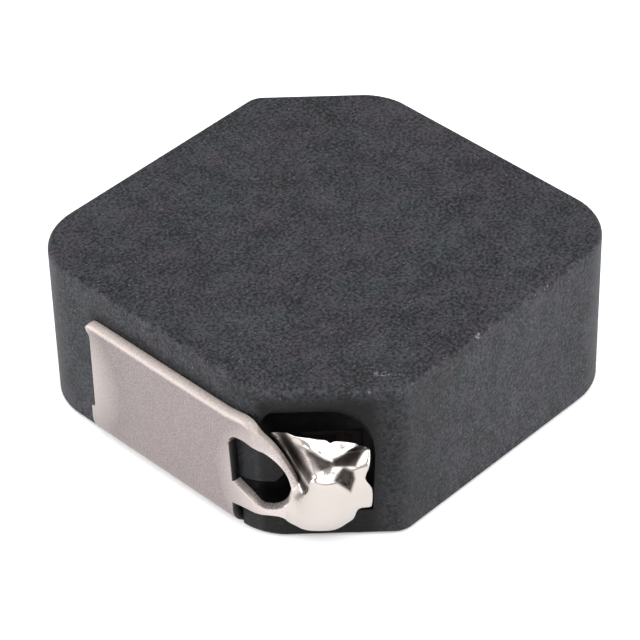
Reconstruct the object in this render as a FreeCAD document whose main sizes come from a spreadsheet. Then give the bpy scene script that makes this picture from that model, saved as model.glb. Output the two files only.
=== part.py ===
# Shielded surface-mount inductor: a closed ferrite pot over a wound drum core, with a folded
# sheet terminal on two opposite sides and a solder joint on each chamfered corner.
# Millimetres. The seating plane is z = 0, +Z is up, and the two halves repeat by half a turn
# about Z. "Front" is the -X side, whose lug reaches round to the chamfer at (-X, -Y).
import FreeCAD, Part
import math
import os
import re
import Sketcher

SIZES = [
    ("side", 12.5, "outside width of the ferrite, both ways"),
    ("core_low", 0.1, "height of the ferrite's underside above the seating plane"),
    ("core_top", 5.5, "height of the top face"),
    ("leg", 2.86, "leg of the two chamfered corners"),
    ("corner", 2.0, "radius of the two rounded corners"),
    ("lug_corner", 1.7, "radius on the chamfers' upright edges under the lugs"),
    ("soften", 0.6, "radius on the chamfers' other upright edges"),
    ("rim", 0.16, "radius along the top edge"),
    ("wall", 1.05, "thinnest wall round the cavity"),
    ("cap", 1.05, "thickness of the closed top"),
    ("land_left", 0.06, "chamfer left beside the recess, on the plate's side"),
    ("land_right", 0.88, "chamfer left beside the recess, on the other side"),
    ("brow", 1.1, "chamfer left above the recess"),
    ("sill", 1.0, "height of the recess's lower edge"),
    ("recess_deep", 1.0, "depth of the recess"),
    ("recess_lip", 0.65, "radius on the recess's upper edge"),
    ("shoulder", 0.7, "how far the shoulder under the lug stands into the recess"),
    ("notch", 0.6, "how far the recess runs on below the shoulder"),
    ("window_half", 0.9, "half width of the window for the wire"),
    ("window_drop", 2.35, "from the top face down to the window"),
    ("sheet", 0.3, "thickness of the terminal sheet"),
    ("fold", 0.5, "inside radius of the fold into the foot"),
    ("foot_len", 1.9, "length of the foot, from the outer face inwards"),
    ("plate_clear", 1.15, "from the rounded corner to the plate"),
    ("plate_short", 0.82, "from the plate's end to the chamfer"),
    ("plate_drop", 1.1, "from the top face down to the plate"),
    ("tie", 0.15, "how far the two sheared ties stand out of the plate's edge"),
    ("tie_low", 1.24, "top of the lower tie"),
    ("tie_tall", 0.38, "height of the upper tie"),
    ("crest", 0.1, "rise of the plate's edge before it turns the corner"),
    ("tongue", 0.02, "reach of the lug's tongue past the middle of the chamfer"),
    ("eye_end", 1.14, "round end of the lug's eye, back from the middle of the chamfer"),
    ("eye_low", 1.1, "lower line of the eye"),
    ("eye_drop", 0.9, "from the plate's top edge down to the eye's upper line"),
    ("arm", 0.36, "width of the lug round the end of its eye"),
    ("arm_root", 1.06, "height at which the lower arm leaves the plate"),
    ("arm_rise", 0.14, "rise of the lower arm up to the turn"),
    ("fit_gap", 0.02, "gap between round faces that meet"),
    ("groove_side", 0.1, "side clearance of the foot in its groove"),
    ("drum_low", 0.45, "height of the drum core's underside"),
    ("resin_gap", 0.25, "from the drum core's flanges to the cavity's wall"),
    ("flange_thick", 0.85, "thickness of each flange"),
    ("flange_edge", 0.08, "chamfer on the flanges' rims"),
    ("coil_inset", 0.55, "from the flanges' rim in to the winding"),
    ("coil_thick", 2.06, "build of the winding"),
    ("wire", 0.5, "diameter of the wire"),
    ("coil_gap", 0.04, "gap between the winding and the drum core"),
    ("lead_across", 0.34, "where the wire's end comes out, along the chamfer"),
    ("lead_drop", 2.66, "from the top face down to the wire's end"),
    ("lead_out", 0.86, "how far the wire's end stands out of the chamfer"),
    ("lead_bend", 0.8, "radius of the bend where the wire leaves the winding"),
    ("resin_deep", 0.4, "depth of the resin in the gap round the drum core"),
    ("solder_low", 0.72, "bottom of the solder"),
    ("solder_drop", 1.5, "from the top face down to the solder's crown"),
    ("solder_half", 1.08, "half width of the solder"),
    ("solder_deep", 0.64, "half depth of the solder"),
    ("solder_out", 0.4, "middle of the solder, out from the chamfer"),
]

doc = FreeCAD.newDocument("shielded_inductor")
sheet = doc.addObject("Spreadsheet::Sheet", "Sizes")
for row, (alias, amount, meaning) in enumerate(SIZES, start=1):
    sheet.set(f"A{row}", meaning)
    sheet.set(f"B{row}", str(amount))
    sheet.setAlias(f"B{row}", alias)
doc.recompute()

ALIASES = re.compile(r"\b(" + "|".join(alias for alias, amount, meaning in SIZES) + r")\b")

# Distances that several features share, written once in terms of the sheet.
SHARED = {
    "LEAD_ROUND": "(COIL - 0.6 * wire)",
    "LEAD_START": "(0.6 * COIL)",
    "HALF": "(side / 2)",
    "OUTER": "(side / 2 + sheet)",
    "MID": "((side - leg) / 2)",
    "RECESS_TALL": "(core_top - brow - sill)",
    "REACH": "((side - leg) / sqrt(2))",
    "SLOPE": "(leg / sqrt(2))",
    "TURN_Y": "(side / 2 - leg + sheet * (sqrt(2) - 1))",
    "TURN_U": "((leg + sheet * (2 - sqrt(2))) / sqrt(2))",
    "BORE": "(side / 2 - wall)",
    "FLANGE": "(side / 2 - wall - resin_gap)",
    "COIL": "(side / 2 - wall - resin_gap - coil_inset)",
    "POST": "(side / 2 - wall - resin_gap - coil_inset - coil_thick - coil_gap)",
    "POT": "(core_top - cap)",
    "COIL_LOW": "(drum_low + flange_thick + coil_gap)",
    "COIL_HIGH": "(core_top - cap - flange_thick - coil_gap)",
    "LEAD_HIGH": "(core_top - lead_drop)",
    "PLATE_LEFT": "(side / 2 - corner - plate_clear)",
    "PLATE_RIGHT": "(side / 2 - leg - plate_short)",
    "PLATE_TOP": "(core_top - plate_drop)",
    "EYE_MID": "((core_top - plate_drop - eye_drop + eye_low) / 2)",
    "EYE_HALF": "((core_top - plate_drop - eye_drop - eye_low) / 2)",
    "SOLDER_HIGH": "(core_top - solder_drop)",
    "VALLEY_DEEP": "(wire / 4)",
    "VALLEY_HALF": "(0.28 * wire)",
}


def ref(text):
    """Writes out the shared distances and points every size at the sheet."""
    for word, meaning in SHARED.items():
        text = re.sub(rf"\b{word}\b", meaning, text)
    return ALIASES.sub(r"Sizes.\1", text)


def num(text):
    return float(sheet.evalExpression(ref(text)))


def bind(thing, path, text):
    thing.setExpression(path, ref(text))


def body(label, turned):
    """A body in the part's frame, or turned half round the Z axis."""
    made = doc.addObject("PartDesign::Body", label)
    made.Label = label
    if turned:
        made.Placement = FreeCAD.Placement(FreeCAD.Vector(), FreeCAD.Rotation(FreeCAD.Vector(0, 0, 1), 180))
    return made


def plane(owner, role):
    for feature in owner.Origin.OriginFeatures:
        if feature.Role == role:
            return feature
    raise RuntimeError(f"no {role}")


def sketch_on(owner, name, role, base, turn=None):
    """A sketch on one of the body's own planes, moved by expressions and turned by an angle."""
    made = owner.newObject("Sketcher::SketchObject", name)
    made.AttachmentSupport = [(plane(owner, role), "")]
    made.MapMode = "FlatFace"
    if turn is not None:
        axis, angle = turn
        turned = FreeCAD.Rotation(FreeCAD.Vector(*axis), angle)
        made.AttachmentOffset = FreeCAD.Placement(FreeCAD.Vector(), turned)
    for letter, text in zip("xyz", base):
        bind(made, f".AttachmentOffset.Base.{letter}", text)
    return made


def chamfer_sketch(owner, name, out):
    """Plane of the (-X, -Y) chamfer moved out by a distance: x runs along it and y is height."""
    base = (f"-(MID + ({out}) / sqrt(2))", "0", f"MID + ({out}) / sqrt(2)")
    return sketch_on(owner, name, "XZ_Plane", base, ((0, 1, 0), -45))


def level_sketch(owner, name, height):
    """Level plane with x along the (-X, -Y) chamfer and y from its face inwards."""
    return sketch_on(owner, name, "XY_Plane", ("-MID", "-MID", height), ((0, 0, 1), -45))


def pin(made, geo, pos, x, y):
    """Holds a point of a sketch at two expressions."""
    for kind, text in (("DistanceX", x), ("DistanceY", y)):
        row = made.addConstraint(Sketcher.Constraint(kind, -1, 1, geo, pos, num(text)))
        bind(made, f"Constraints[{row}]", text)


def polygon(made, points):
    """A closed run of lines whose corners are held by expressions."""
    spots = [FreeCAD.Vector(num(x), num(y), 0) for x, y in points]
    first = made.GeometryCount
    count = len(spots)
    for step in range(count):
        made.addGeometry(Part.LineSegment(spots[step], spots[(step + 1) % count]), False)
    for step in range(count):
        after = first + (step + 1) % count
        made.addConstraint(Sketcher.Constraint("Coincident", first + step, 2, after, 1))
        pin(made, first + step, 1, *points[step])


def box(made, x0, x1, y0, y1):
    polygon(made, [(x0, y0), (x1, y0), (x1, y1), (x0, y1)])


def circle(made, x, y, radius):
    centre = FreeCAD.Vector(num(x), num(y), 0)
    geo = made.addGeometry(Part.Circle(centre, FreeCAD.Vector(0, 0, 1), num(radius)), False)
    row = made.addConstraint(Sketcher.Constraint("Radius", geo, num(radius)))
    bind(made, f"Constraints[{row}]", radius)
    pin(made, geo, 3, x, y)


def ellipse(made, x, y, wide, deep):
    """An ellipse with its long axis along x, held by its centre and two half axes."""
    centre = FreeCAD.Vector(num(x), num(y), 0)
    end_wide = centre + FreeCAD.Vector(num(wide), 0, 0)
    end_deep = centre + FreeCAD.Vector(0, num(deep), 0)
    geo = made.addGeometry(Part.Ellipse(end_wide, end_deep, centre), False)
    made.exposeInternalGeometry(geo)
    made.addConstraint(Sketcher.Constraint("Horizontal", geo + 1))
    for line, text in ((geo + 1, wide), (geo + 2, deep)):
        row = made.addConstraint(Sketcher.Constraint("Distance", line, 1, line, 2, 2 * num(text)))
        bind(made, f"Constraints[{row}]", f"2 * ({text})")
    pin(made, geo, 3, x, y)


def feature(owner, kind, name, profile, **settings):
    """A profiled feature. Text settings are expressions, all others are plain values."""
    made = owner.newObject(f"PartDesign::{kind}", name)
    made.Profile = profile
    for key, entry in settings.items():
        if isinstance(entry, str):
            bind(made, key, entry)
        else:
            setattr(made, key, entry)
    return made


def edges(owner, wanted):
    """Names of the edges of a body's present shape that pass a test."""
    doc.recompute()
    shape = owner.Tip.Shape
    return [f"Edge{number}" for number, edge in enumerate(shape.Edges, start=1) if wanted(edge)]


def dress(owner, kind, name, wanted, amount):
    """A fillet or chamfer on the edges that pass a test."""
    names = edges(owner, wanted)
    if not names:
        raise RuntimeError(f"{name} found no edge")
    base = owner.Tip
    made = owner.newObject(f"PartDesign::{kind}", name)
    made.Base = (base, names)
    bind(made, "Radius" if kind == "Fillet" else "Size", amount)
    doc.recompute()
    return made


def upright(edge):
    ends = [vertex.Point for vertex in edge.Vertexes]
    return len(ends) == 2 and abs(ends[0].x - ends[1].x) < 1e-6 and abs(ends[0].y - ends[1].y) < 1e-6


def near(edge, x, y, slack=1e-4):
    spot = edge.Vertexes[0].Point
    return abs(spot.x - x) < slack and abs(spot.y - y) < slack


# Ferrite pot: a chamfered block with a cavity open below, recessed at two corners.

shield = body("shield_core", False)
outline = sketch_on(shield, "shield_outline", "XY_Plane", ("0", "0", "core_low"))
box(outline, "-HALF", "HALF", "-HALF", "HALF")
feature(shield, "Pad", "shield_block", outline, Length="core_top - core_low")

half = num("HALF")
turn = half - num("leg")


def upright_at(x, y):
    """Test for the upright edge at a place and the one half a turn from it."""
    return lambda edge: upright(edge) and (near(edge, x, y) or near(edge, -x, -y))


dress(shield, "Chamfer", "shield_chamfers", upright_at(half, half), "leg")
dress(shield, "Fillet", "shield_corners", upright_at(half, -half), "corner")
dress(shield, "Fillet", "shield_under_lugs", upright_at(half, turn), "lug_corner")
dress(shield, "Fillet", "shield_softened", upright_at(turn, half), "soften")
dress(shield, "Fillet", "shield_rim",
      lambda edge: all(abs(vertex.Point.z - num("core_top")) < 1e-6 for vertex in edge.Vertexes), "rim")

mouth = sketch_on(shield, "cavity_mouth", "XY_Plane", ("0", "0", "core_low"))
circle(mouth, "0", "0", "BORE")
feature(shield, "Pocket", "cavity", mouth, Length="POT - core_low", Reversed=True)

# On the lug's side a shoulder stands into the recess and a notch runs on below it. Each point
# of the shoulder is (share of its width, share of the recess's height).
SHOULDER = [(0.55, 0.345), (1.0, 0.465), (0.9, 0.6), (0.0, 0.89)]
NOTCH_TALL = 0.28
recess_face = chamfer_sketch(shield, "recess_outline", "0")
polygon(recess_face, [
    ("-SLOPE + land_left", "core_top - brow"),
    ("SLOPE - land_right", "core_top - brow"),
    ("SLOPE - land_right", "sill"),
    ("-SLOPE + land_left - notch", "sill"),
    ("-SLOPE + land_left - notch", f"sill + {NOTCH_TALL} * RECESS_TALL"),
] + [(f"-SLOPE + land_left + {share} * shoulder", f"sill + {rise} * RECESS_TALL")
     for share, rise in SHOULDER])
recess = feature(shield, "Pocket", "recess", recess_face, Length="recess_deep")

window_face = chamfer_sketch(shield, "window_outline", "-recess_deep / 2")
box(window_face, "-window_half", "window_half", "sill", "core_top - window_drop")
window = feature(shield, "Pocket", "wire_window", window_face, Length="REACH - BORE")

groove_face = sketch_on(shield, "groove_profile", "XZ_Plane", ("0", "0", "0"))
polygon(groove_face, [
    ("-OUTER", "0"),
    ("-OUTER", "sheet + fold"),
    ("-HALF", "sheet + fold"),
    ("-HALF + fold", "sheet"),
    ("-OUTER + foot_len + groove_side", "sheet"),
    ("-OUTER + foot_len + groove_side", "0"),
])
groove = feature(shield, "Pocket", "foot_groove", groove_face,
                 Length="PLATE_LEFT + tie + groove_side", Length2="PLATE_RIGHT + groove_side")
groove.SideType = "Two sides"

halves = shield.newObject("PartDesign::PolarPattern", "other_side")
halves.Originals = [recess, window, groove]
halves.Axis = (plane(shield, "Z_Axis"), [""])
halves.Angle = 360
halves.Occurrences = 2
shield.Tip = halves
doc.recompute()


def recess_brow(edge):
    """Upper edge of either recess, in the plane of the chamfer."""
    ends = [vertex.Point for vertex in edge.Vertexes]
    level = all(abs(end.z - num("core_top - brow")) < 1e-6 for end in ends)
    return level and all(abs(abs(end.x + end.y) / math.sqrt(2) - num("REACH")) < 1e-6 for end in ends)


dress(shield, "Fillet", "recess_brow", recess_brow, "recess_lip")

# Drum core: two round flanges on a post, pushed up against the pot's closed top.

drum = body("drum_core", False)
drum_side = sketch_on(drum, "drum_profile", "XZ_Plane", ("0", "0", "0"))
polygon(drum_side, [
    ("0", "drum_low"),
    ("FLANGE", "drum_low"),
    ("FLANGE", "drum_low + flange_thick"),
    ("POST", "drum_low + flange_thick"),
    ("POST", "POT - flange_thick"),
    ("FLANGE", "POT - flange_thick"),
    ("FLANGE", "POT"),
    ("0", "POT"),
])
feature(drum, "Revolution", "drum", drum_side, ReferenceAxis=(drum_side, ["V_Axis"]), Angle=360.0)


def outer_rim(edge):
    """Rim of the lower flange's underside or of the upper flange's top."""
    if edge.Curve.TypeId != "Part::GeomCircle" or abs(edge.Curve.Radius - num("FLANGE")) > 1e-6:
        return False
    return any(abs(edge.Curve.Center.z - num(level)) < 1e-6 for level in ("drum_low", "POT"))


dress(drum, "Chamfer", "flange_rims", outer_rim, "flange_edge")

# Winding: a ring with a valley between each pair of turns, and a wire's end at each recess.

coil = body("winding", False)
coil_side = sketch_on(coil, "coil_profile", "XZ_Plane", ("0", "0", "0"))
box(coil_side, "POST + coil_gap", "COIL", "COIL_LOW", "COIL_HIGH")
feature(coil, "Revolution", "coil", coil_side, ReferenceAxis=(coil_side, ["V_Axis"]), Angle=360.0)

valley_side = sketch_on(coil, "valley_profile", "XZ_Plane", ("0", "0", "0"))
polygon(valley_side, [
    ("COIL + VALLEY_DEEP", "COIL_LOW + wire - VALLEY_HALF"),
    ("COIL - VALLEY_DEEP", "COIL_LOW + wire"),
    ("COIL + VALLEY_DEEP", "COIL_LOW + wire + VALLEY_HALF"),
])
valley = feature(coil, "Groove", "valley", valley_side, ReferenceAxis=(valley_side, ["V_Axis"]), Angle=360.0)
valleys = coil.newObject("PartDesign::LinearPattern", "valleys")
valleys.Originals = [valley]
valleys.Direction = (plane(coil, "Z_Axis"), [""])
turns = int((num("COIL_HIGH") - num("COIL_LOW")) / num("wire"))
valleys.Occurrences = turns - 1
bind(valleys, "Length", f"wire * {turns - 2}")
coil.Tip = valleys

# The wire's end runs round the winding, bends outwards and goes straight out at the chamfer.
across = num("lead_across")
bend = num("lead_bend")
around = num("LEAD_ROUND")
reach = num("REACH")
lean = math.asin((bend - across) / (around + bend))
knee = reach - (around + bend) * math.cos(lean)
up = FreeCAD.Vector(0, 0, 1)
way = level_sketch(coil, "lead_path", "LEAD_HIGH")
way.addGeometry(Part.LineSegment(FreeCAD.Vector(across, -num("lead_out"), 0),
                                 FreeCAD.Vector(across, knee, 0)), False)
way.addGeometry(Part.ArcOfCircle(Part.Circle(FreeCAD.Vector(across - bend, knee, 0), up, bend),
                                 0, math.pi / 2 - lean), False)
way.addGeometry(Part.ArcOfCircle(Part.Circle(FreeCAD.Vector(0, reach, 0), up, around),
                                 math.pi + math.acos(num("LEAD_START") / around),
                                 3 * math.pi / 2 - lean), False)
pin(way, 0, 1, "lead_across", "-lead_out")
way.addConstraint(Sketcher.Constraint("Vertical", 0))
way.addConstraint(Sketcher.Constraint("Tangent", 0, 2, 1, 1))
way.addConstraint(Sketcher.Constraint("Tangent", 1, 2, 2, 2))
pin(way, 2, 3, "0", "REACH")
for arc, text in ((1, "lead_bend"), (2, "LEAD_ROUND")):
    row = way.addConstraint(Sketcher.Constraint("Radius", arc, num(text)))
    bind(way, f"Constraints[{row}]", text)
row = way.addConstraint(Sketcher.Constraint("DistanceX", -1, 1, 2, 1, -num("LEAD_START")))
bind(way, f"Constraints[{row}]", "-LEAD_START")

tip = chamfer_sketch(coil, "lead_section", "lead_out")
circle(tip, "lead_across", "LEAD_HIGH", "wire / 2")
lead = coil.newObject("PartDesign::AdditivePipe", "lead")
lead.Profile = tip
lead.Spine = (way, [])
both = coil.newObject("PartDesign::PolarPattern", "both_leads")
both.Originals = [lead]
both.Axis = (plane(coil, "Z_Axis"), [""])
both.Angle = 360
both.Occurrences = 2
coil.Tip = both

# Resin between the drum core's lower flange and the wall of the cavity.
resin = body("gap_resin", False)
ring = sketch_on(resin, "resin_ring", "XY_Plane", ("0", "0", "drum_low"))
circle(ring, "0", "0", "FLANGE + fit_gap")
circle(ring, "0", "0", "BORE - fit_gap")
feature(resin, "Pad", "resin", ring, Length="resin_deep")


# The lug on the chamfer, as shares of the eye's width and half height. Each point is
# (share of the width back from the eye's end, share of the half height above its middle).
EYE = [(1.16, 1.2), (0.81, 1.07), (0.12, 0.32), (0.0, -0.04), (0.06, -0.5), (0.31, -0.74), (0.61, -0.77),
       (0.96, -0.52), (1.16, -0.5)]
BROW = [(0.99, 1.41), (0.58, 0.86), (0.18, 0.08), (0.02, -0.25)]
CHIN = [(0.11, -1.3), (0.74, -1.0)]
WIDE = "(TURN_U - eye_end)"

# The same eye on the plate's side of the turn: shares of its half height back from the
# plate's end and above its middle, and the shares above its middle at the turn itself.
EYE_ROOT = [(0, -0.34), (0, 0.9), (0.17, 1.15)]
EYE_AT_TURN = [1.2, -0.5]
TONGUE_HIGH = -0.25


def eye_point(share, rise, out="0"):
    return (f"-(eye_end - ({out}) + {share} * {WIDE})", f"EYE_MID + {rise} * EYE_HALF")


def terminal(label, turned):
    """A sheet folded under the core as a foot and round the chamfer as a lug with an eye."""
    made = body(label, turned)
    strip = sketch_on(made, f"{label}_strip", "XY_Plane", ("0", "0", "0"))
    polygon(strip, [
        ("-OUTER", "PLATE_LEFT + tie"),
        ("-HALF", "PLATE_LEFT + tie"),
        ("-HALF", "-(HALF - leg)"),
        ("-MID + tongue / sqrt(2)", "-MID - tongue / sqrt(2)"),
        ("-MID + (tongue - sheet) / sqrt(2)", "-MID - (tongue + sheet) / sqrt(2)"),
        ("-OUTER", "-TURN_Y"),
    ])
    feature(made, "Pad", f"{label}_sheet", strip, Length="PLATE_TOP + crest")
    inner = (-num("HALF"), -num("HALF - leg"))
    outer = (-num("OUTER"), -num("TURN_Y"))
    dress(made, "Fillet", f"{label}_bend_in", lambda edge: upright(edge) and near(edge, *inner), "sheet")
    dress(made, "Fillet", f"{label}_bend_out", lambda edge: upright(edge) and near(edge, *outer), "2 * sheet")

    side = sketch_on(made, f"{label}_side", "YZ_Plane", ("0", "0", "-OUTER"))
    past = "-TURN_Y - sheet / 2"
    polygon(side, [(f"-PLATE_RIGHT - {back} * EYE_HALF", f"EYE_MID + {rise} * EYE_HALF")
                   for back, rise in EYE_ROOT]
            + [(past, f"EYE_MID + {rise} * EYE_HALF") for rise in EYE_AT_TURN])
    polygon(side, [
        ("-PLATE_RIGHT", "-sheet"),
        ("-PLATE_RIGHT", "arm_root"),
        (past, "arm_root + arm_rise"),
        (past, "-sheet"),
    ])
    box(side, "PLATE_LEFT", "PLATE_LEFT + tie + sheet", "tie_low", "PLATE_TOP - tie_tall")
    polygon(side, [
        ("PLATE_LEFT + tie + sheet", "PLATE_TOP"),
        ("-PLATE_RIGHT", "PLATE_TOP"),
        ("-PLATE_RIGHT - 4 * crest", "PLATE_TOP + crest"),
        ("-PLATE_RIGHT - 4 * crest", "PLATE_TOP + 3 * crest"),
        ("PLATE_LEFT + tie + sheet", "PLATE_TOP + 3 * crest"),
    ])
    feature(made, "Pocket", f"{label}_side_cut", side, Length="sheet + fit_gap", Reversed=True)

    lug = chamfer_sketch(made, f"{label}_lug", "sheet")
    far = "tongue + sheet"
    polygon(lug, [("-TURN_U", "PLATE_TOP + crest / 2")]
            + [eye_point(share, rise, "arm") for share, rise in BROW]
            + [(far, f"EYE_MID + {TONGUE_HIGH} * EYE_HALF"), (far, "PLATE_TOP + 3 * crest"),
               ("-TURN_U", "PLATE_TOP + 3 * crest")])
    polygon(lug, [("-TURN_U", "-sheet"), (far, "-sheet"), (far, "EYE_MID - EYE_HALF")]
            + [eye_point(share, rise, "arm") for share, rise in CHIN]
            + [("-TURN_U", "arm_root + arm_rise")])
    feature(made, "Pocket", f"{label}_lug_cut", lug, Length="sheet + fit_gap")

    eye = chamfer_sketch(made, f"{label}_eye", "2 * sheet")
    polygon(eye, [eye_point(share, rise) for share, rise in EYE])
    feature(made, "Pocket", f"{label}_eye_cut", eye, Length="3 * sheet")

    sole = sketch_on(made, f"{label}_sole", "XY_Plane", ("0", "0", "0"))
    box(sole, "-OUTER", "-OUTER + foot_len", "-PLATE_RIGHT", "PLATE_LEFT + tie")
    feature(made, "Pad", f"{label}_foot", sole, Length="sheet")

    def along(edge, x, z):
        ends = [vertex.Point for vertex in edge.Vertexes]
        return len(ends) == 2 and all(abs(end.x - x) < 1e-6 and abs(end.z - z) < 1e-6 for end in ends)

    dress(made, "Fillet", f"{label}_fold_in", lambda edge: along(edge, -num("HALF"), num("sheet")), "fold")
    dress(made, "Fillet", f"{label}_fold_out", lambda edge: along(edge, -num("OUTER"), 0), "fold + sheet")
    return made


# The solder as level sections from its foot to its crown: share of the height, shift along
# the chamfer, share of the width, shift outwards and share of the depth.
SECTIONS = [
    (0.0, -0.38, 0.22, 0.05, 0.20),
    (0.14, -0.19, 0.68, 0.0, 0.74),
    (0.4, 0.04, 0.98, 0.01, 1.0),
    (0.72, 0.02, 0.92, -0.04, 0.95),
    (0.95, 0.0, 0.86, -0.18, 0.72),
    (1.0, -0.02, 0.68, -0.24, 0.50),
]


def solder(label, clip, turned):
    """A lump round the lug's tongue and the wire's end, cut back to their faces."""
    lump = body(f"{label}_lump", turned)
    rings = []
    for step, (share, shift, wide, out, deep) in enumerate(SECTIONS):
        height = f"solder_low + {share} * (SOLDER_HIGH - solder_low)"
        level = level_sketch(lump, f"{label}_level_{step}", height)
        ellipse(level, f"{shift} * solder_half", f"-(solder_out + {out} * solder_deep)",
                f"{wide} * solder_half", f"{deep} * solder_deep")
        rings.append(level)
    loft = lump.newObject("PartDesign::AdditiveLoft", f"{label}_loft")
    loft.Profile = rings[0]
    loft.Sections = rings[1:]
    hole = doc.addObject("Part::Cylinder", f"{label}_hole")
    bind(hole, "Radius", "wire / 2 + fit_gap")
    bind(hole, "Height", "recess_deep + lead_out + wire")
    way_out = FreeCAD.Vector(1, 1, 0) if turned else FreeCAD.Vector(-1, -1, 0)
    hole.Placement = FreeCAD.Placement(FreeCAD.Vector(), FreeCAD.Rotation(FreeCAD.Vector(0, 0, 1), way_out))
    sign = "-1" if turned else "1"
    bind(hole, ".Placement.Base.x", f"{sign} * (-MID + (lead_across + recess_deep) / sqrt(2))")
    bind(hole, ".Placement.Base.y", f"{sign} * (-MID + (recess_deep - lead_across) / sqrt(2))")
    bind(hole, ".Placement.Base.z", "LEAD_HIGH")
    off_clip = doc.addObject("Part::Cut", f"{label}_off_clip")
    off_clip.Base = lump
    off_clip.Tool = clip
    made = doc.addObject("Part::Cut", label)
    made.Base = off_clip
    made.Tool = hole
    made.Label = label
    return made


pieces = [shield, drum, coil, resin]
for side, turned in (("front", False), ("rear", True)):
    clip = terminal(f"terminal_{side}", turned)
    pieces.append(clip)
    pieces.append(solder(f"solder_joint_{side}", clip, turned))
doc.recompute()

for thing in doc.Objects:
    bad = [state for state in thing.State if state in ("Invalid", "Error")]
    if bad:
        raise RuntimeError(f"{thing.Name}: {bad}")
os.makedirs("parts", exist_ok=True)
for piece in pieces:
    shape = piece.Shape
    if shape.isNull() or not shape.isValid() or len(shape.Solids) != 1:
        raise RuntimeError(f"{piece.Label}: {len(shape.Solids)} solids, valid {shape.isValid()}")
    print(piece.Label, round(shape.Volume, 3), shape.BoundBox)
    shape.exportStep(f"parts/{piece.Label}.step")
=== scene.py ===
import math

import bmesh
import bpy
import numpy as np
from bpy.props import FloatProperty, FloatVectorProperty, IntProperty, PointerProperty
from mathutils import Euler, Matrix, Vector, noise


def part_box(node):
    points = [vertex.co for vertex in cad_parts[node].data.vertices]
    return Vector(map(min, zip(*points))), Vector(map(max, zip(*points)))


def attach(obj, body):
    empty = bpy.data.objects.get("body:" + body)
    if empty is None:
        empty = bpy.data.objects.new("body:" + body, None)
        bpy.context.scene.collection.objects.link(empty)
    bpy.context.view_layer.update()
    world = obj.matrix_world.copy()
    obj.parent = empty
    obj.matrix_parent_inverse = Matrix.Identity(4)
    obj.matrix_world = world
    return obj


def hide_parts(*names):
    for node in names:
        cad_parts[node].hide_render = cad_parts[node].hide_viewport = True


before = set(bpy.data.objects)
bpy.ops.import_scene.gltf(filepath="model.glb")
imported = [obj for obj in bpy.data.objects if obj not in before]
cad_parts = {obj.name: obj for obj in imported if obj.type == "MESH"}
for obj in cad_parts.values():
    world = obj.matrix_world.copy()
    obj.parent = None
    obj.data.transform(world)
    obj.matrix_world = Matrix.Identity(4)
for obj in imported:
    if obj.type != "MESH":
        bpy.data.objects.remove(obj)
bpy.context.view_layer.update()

bl_info = {
    "name": "Shielded Inductor",
    "version": (1, 0, 0),
    "blender": (4, 5, 0),
    "location": "3D View > Sidebar > Inductor",
    "description": "Ferrite pot, drum core, winding, folded terminals and solder joints "
                   "of a surface-mount inductor",
    "category": "Object",
}

MM = 0.001
# Points of a mesh that are nearer than this, in metres, count as one place.
CLOSE = 1e-6
POT_LOW, POT_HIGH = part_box("shield_core")
DRUM_LOW, DRUM_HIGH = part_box("drum_core")
SHEET_LOW, SHEET_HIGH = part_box("terminal_front")
HALF_TURN = Matrix.Rotation(math.pi, 4, "Z")


def length(name, millimetres, text):
    """A size of the panel, shown in the scene's units."""
    return FloatProperty(name=name, description=text, default=millimetres * MM, unit="LENGTH", precision=5)


def strength(name, default, text):
    return FloatProperty(name=name, description=text, default=default, min=0)


def angle(name, degrees, text):
    return FloatProperty(name=name, description=text, default=math.radians(degrees), subtype="ANGLE")


def colour(name, default, text):
    return FloatVectorProperty(name=name, description=text, default=default, subtype="COLOR", min=0, max=1)


class PotSettings(bpy.types.PropertyGroup):
    leg: length("Chamfer leg", 2.86, "Leg of the two chamfered corners")
    corner: length("Corner radius", 2.0, "Radius of the two rounded corners")
    lug_corner: length("Lug corner radius", 1.7, "Radius on the chamfers' upright edges under the lugs")
    soften: length("Chamfer edge radius", 0.6, "Radius on the chamfers' other upright edges")
    rim: length("Rim radius", 0.16, "Radius along the top edge")
    sole: length("Sole radius", 0.06, "Radius along the bottom edge")
    bore: length("Bore", 5.2, "Radius of the cavity")
    cap: length("Cap", 1.05, "Thickness of the closed top")
    recess_left: length("Recess left", -1.962, "Left end of the recess along the chamfer")
    recess_right: length("Recess right", 1.142, "Right end of the recess along the chamfer")
    recess_low: length("Recess low", 1.0, "Lower edge of the recess")
    recess_high: length("Recess high", 4.4, "Upper edge of the recess")
    recess_deep: length("Recess depth", 1.0, "Depth of the recess")
    shoulder: length("Shoulder", 0.7, "How far the shoulder under the lug stands into the recess")
    notch: length("Notch", 0.6, "How far the recess runs on below the shoulder")
    lip: length("Recess lip", 0.65, "Radius on the recess's upper edge")
    flank: length("Recess flank", 0.08, "Flare of the recess's right edge")
    round: length("Recess corner", 1.25, "Radius of the recess's upper right corner")
    round_left: length("Recess left corner", 0.37, "Radius of the recess's upper left corner")
    window: length("Window", 0.9, "Half width of the window for the wire")
    window_high: length("Window height", 3.15, "Upper edge of the window for the wire")
    groove_gap: length("Groove gap", 0.1, "Clearance of the terminal's foot in its groove")
    wear: length("Wear", 0.045, "Width of the wear on every sharp edge")
    dark: colour("Ferrite, dark", (0.0035, 0.0035, 0.0038), "Darkest grain of the ferrite")
    light: colour("Ferrite, light", (0.0405, 0.041, 0.0465), "Lightest grain of the ferrite")


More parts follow.
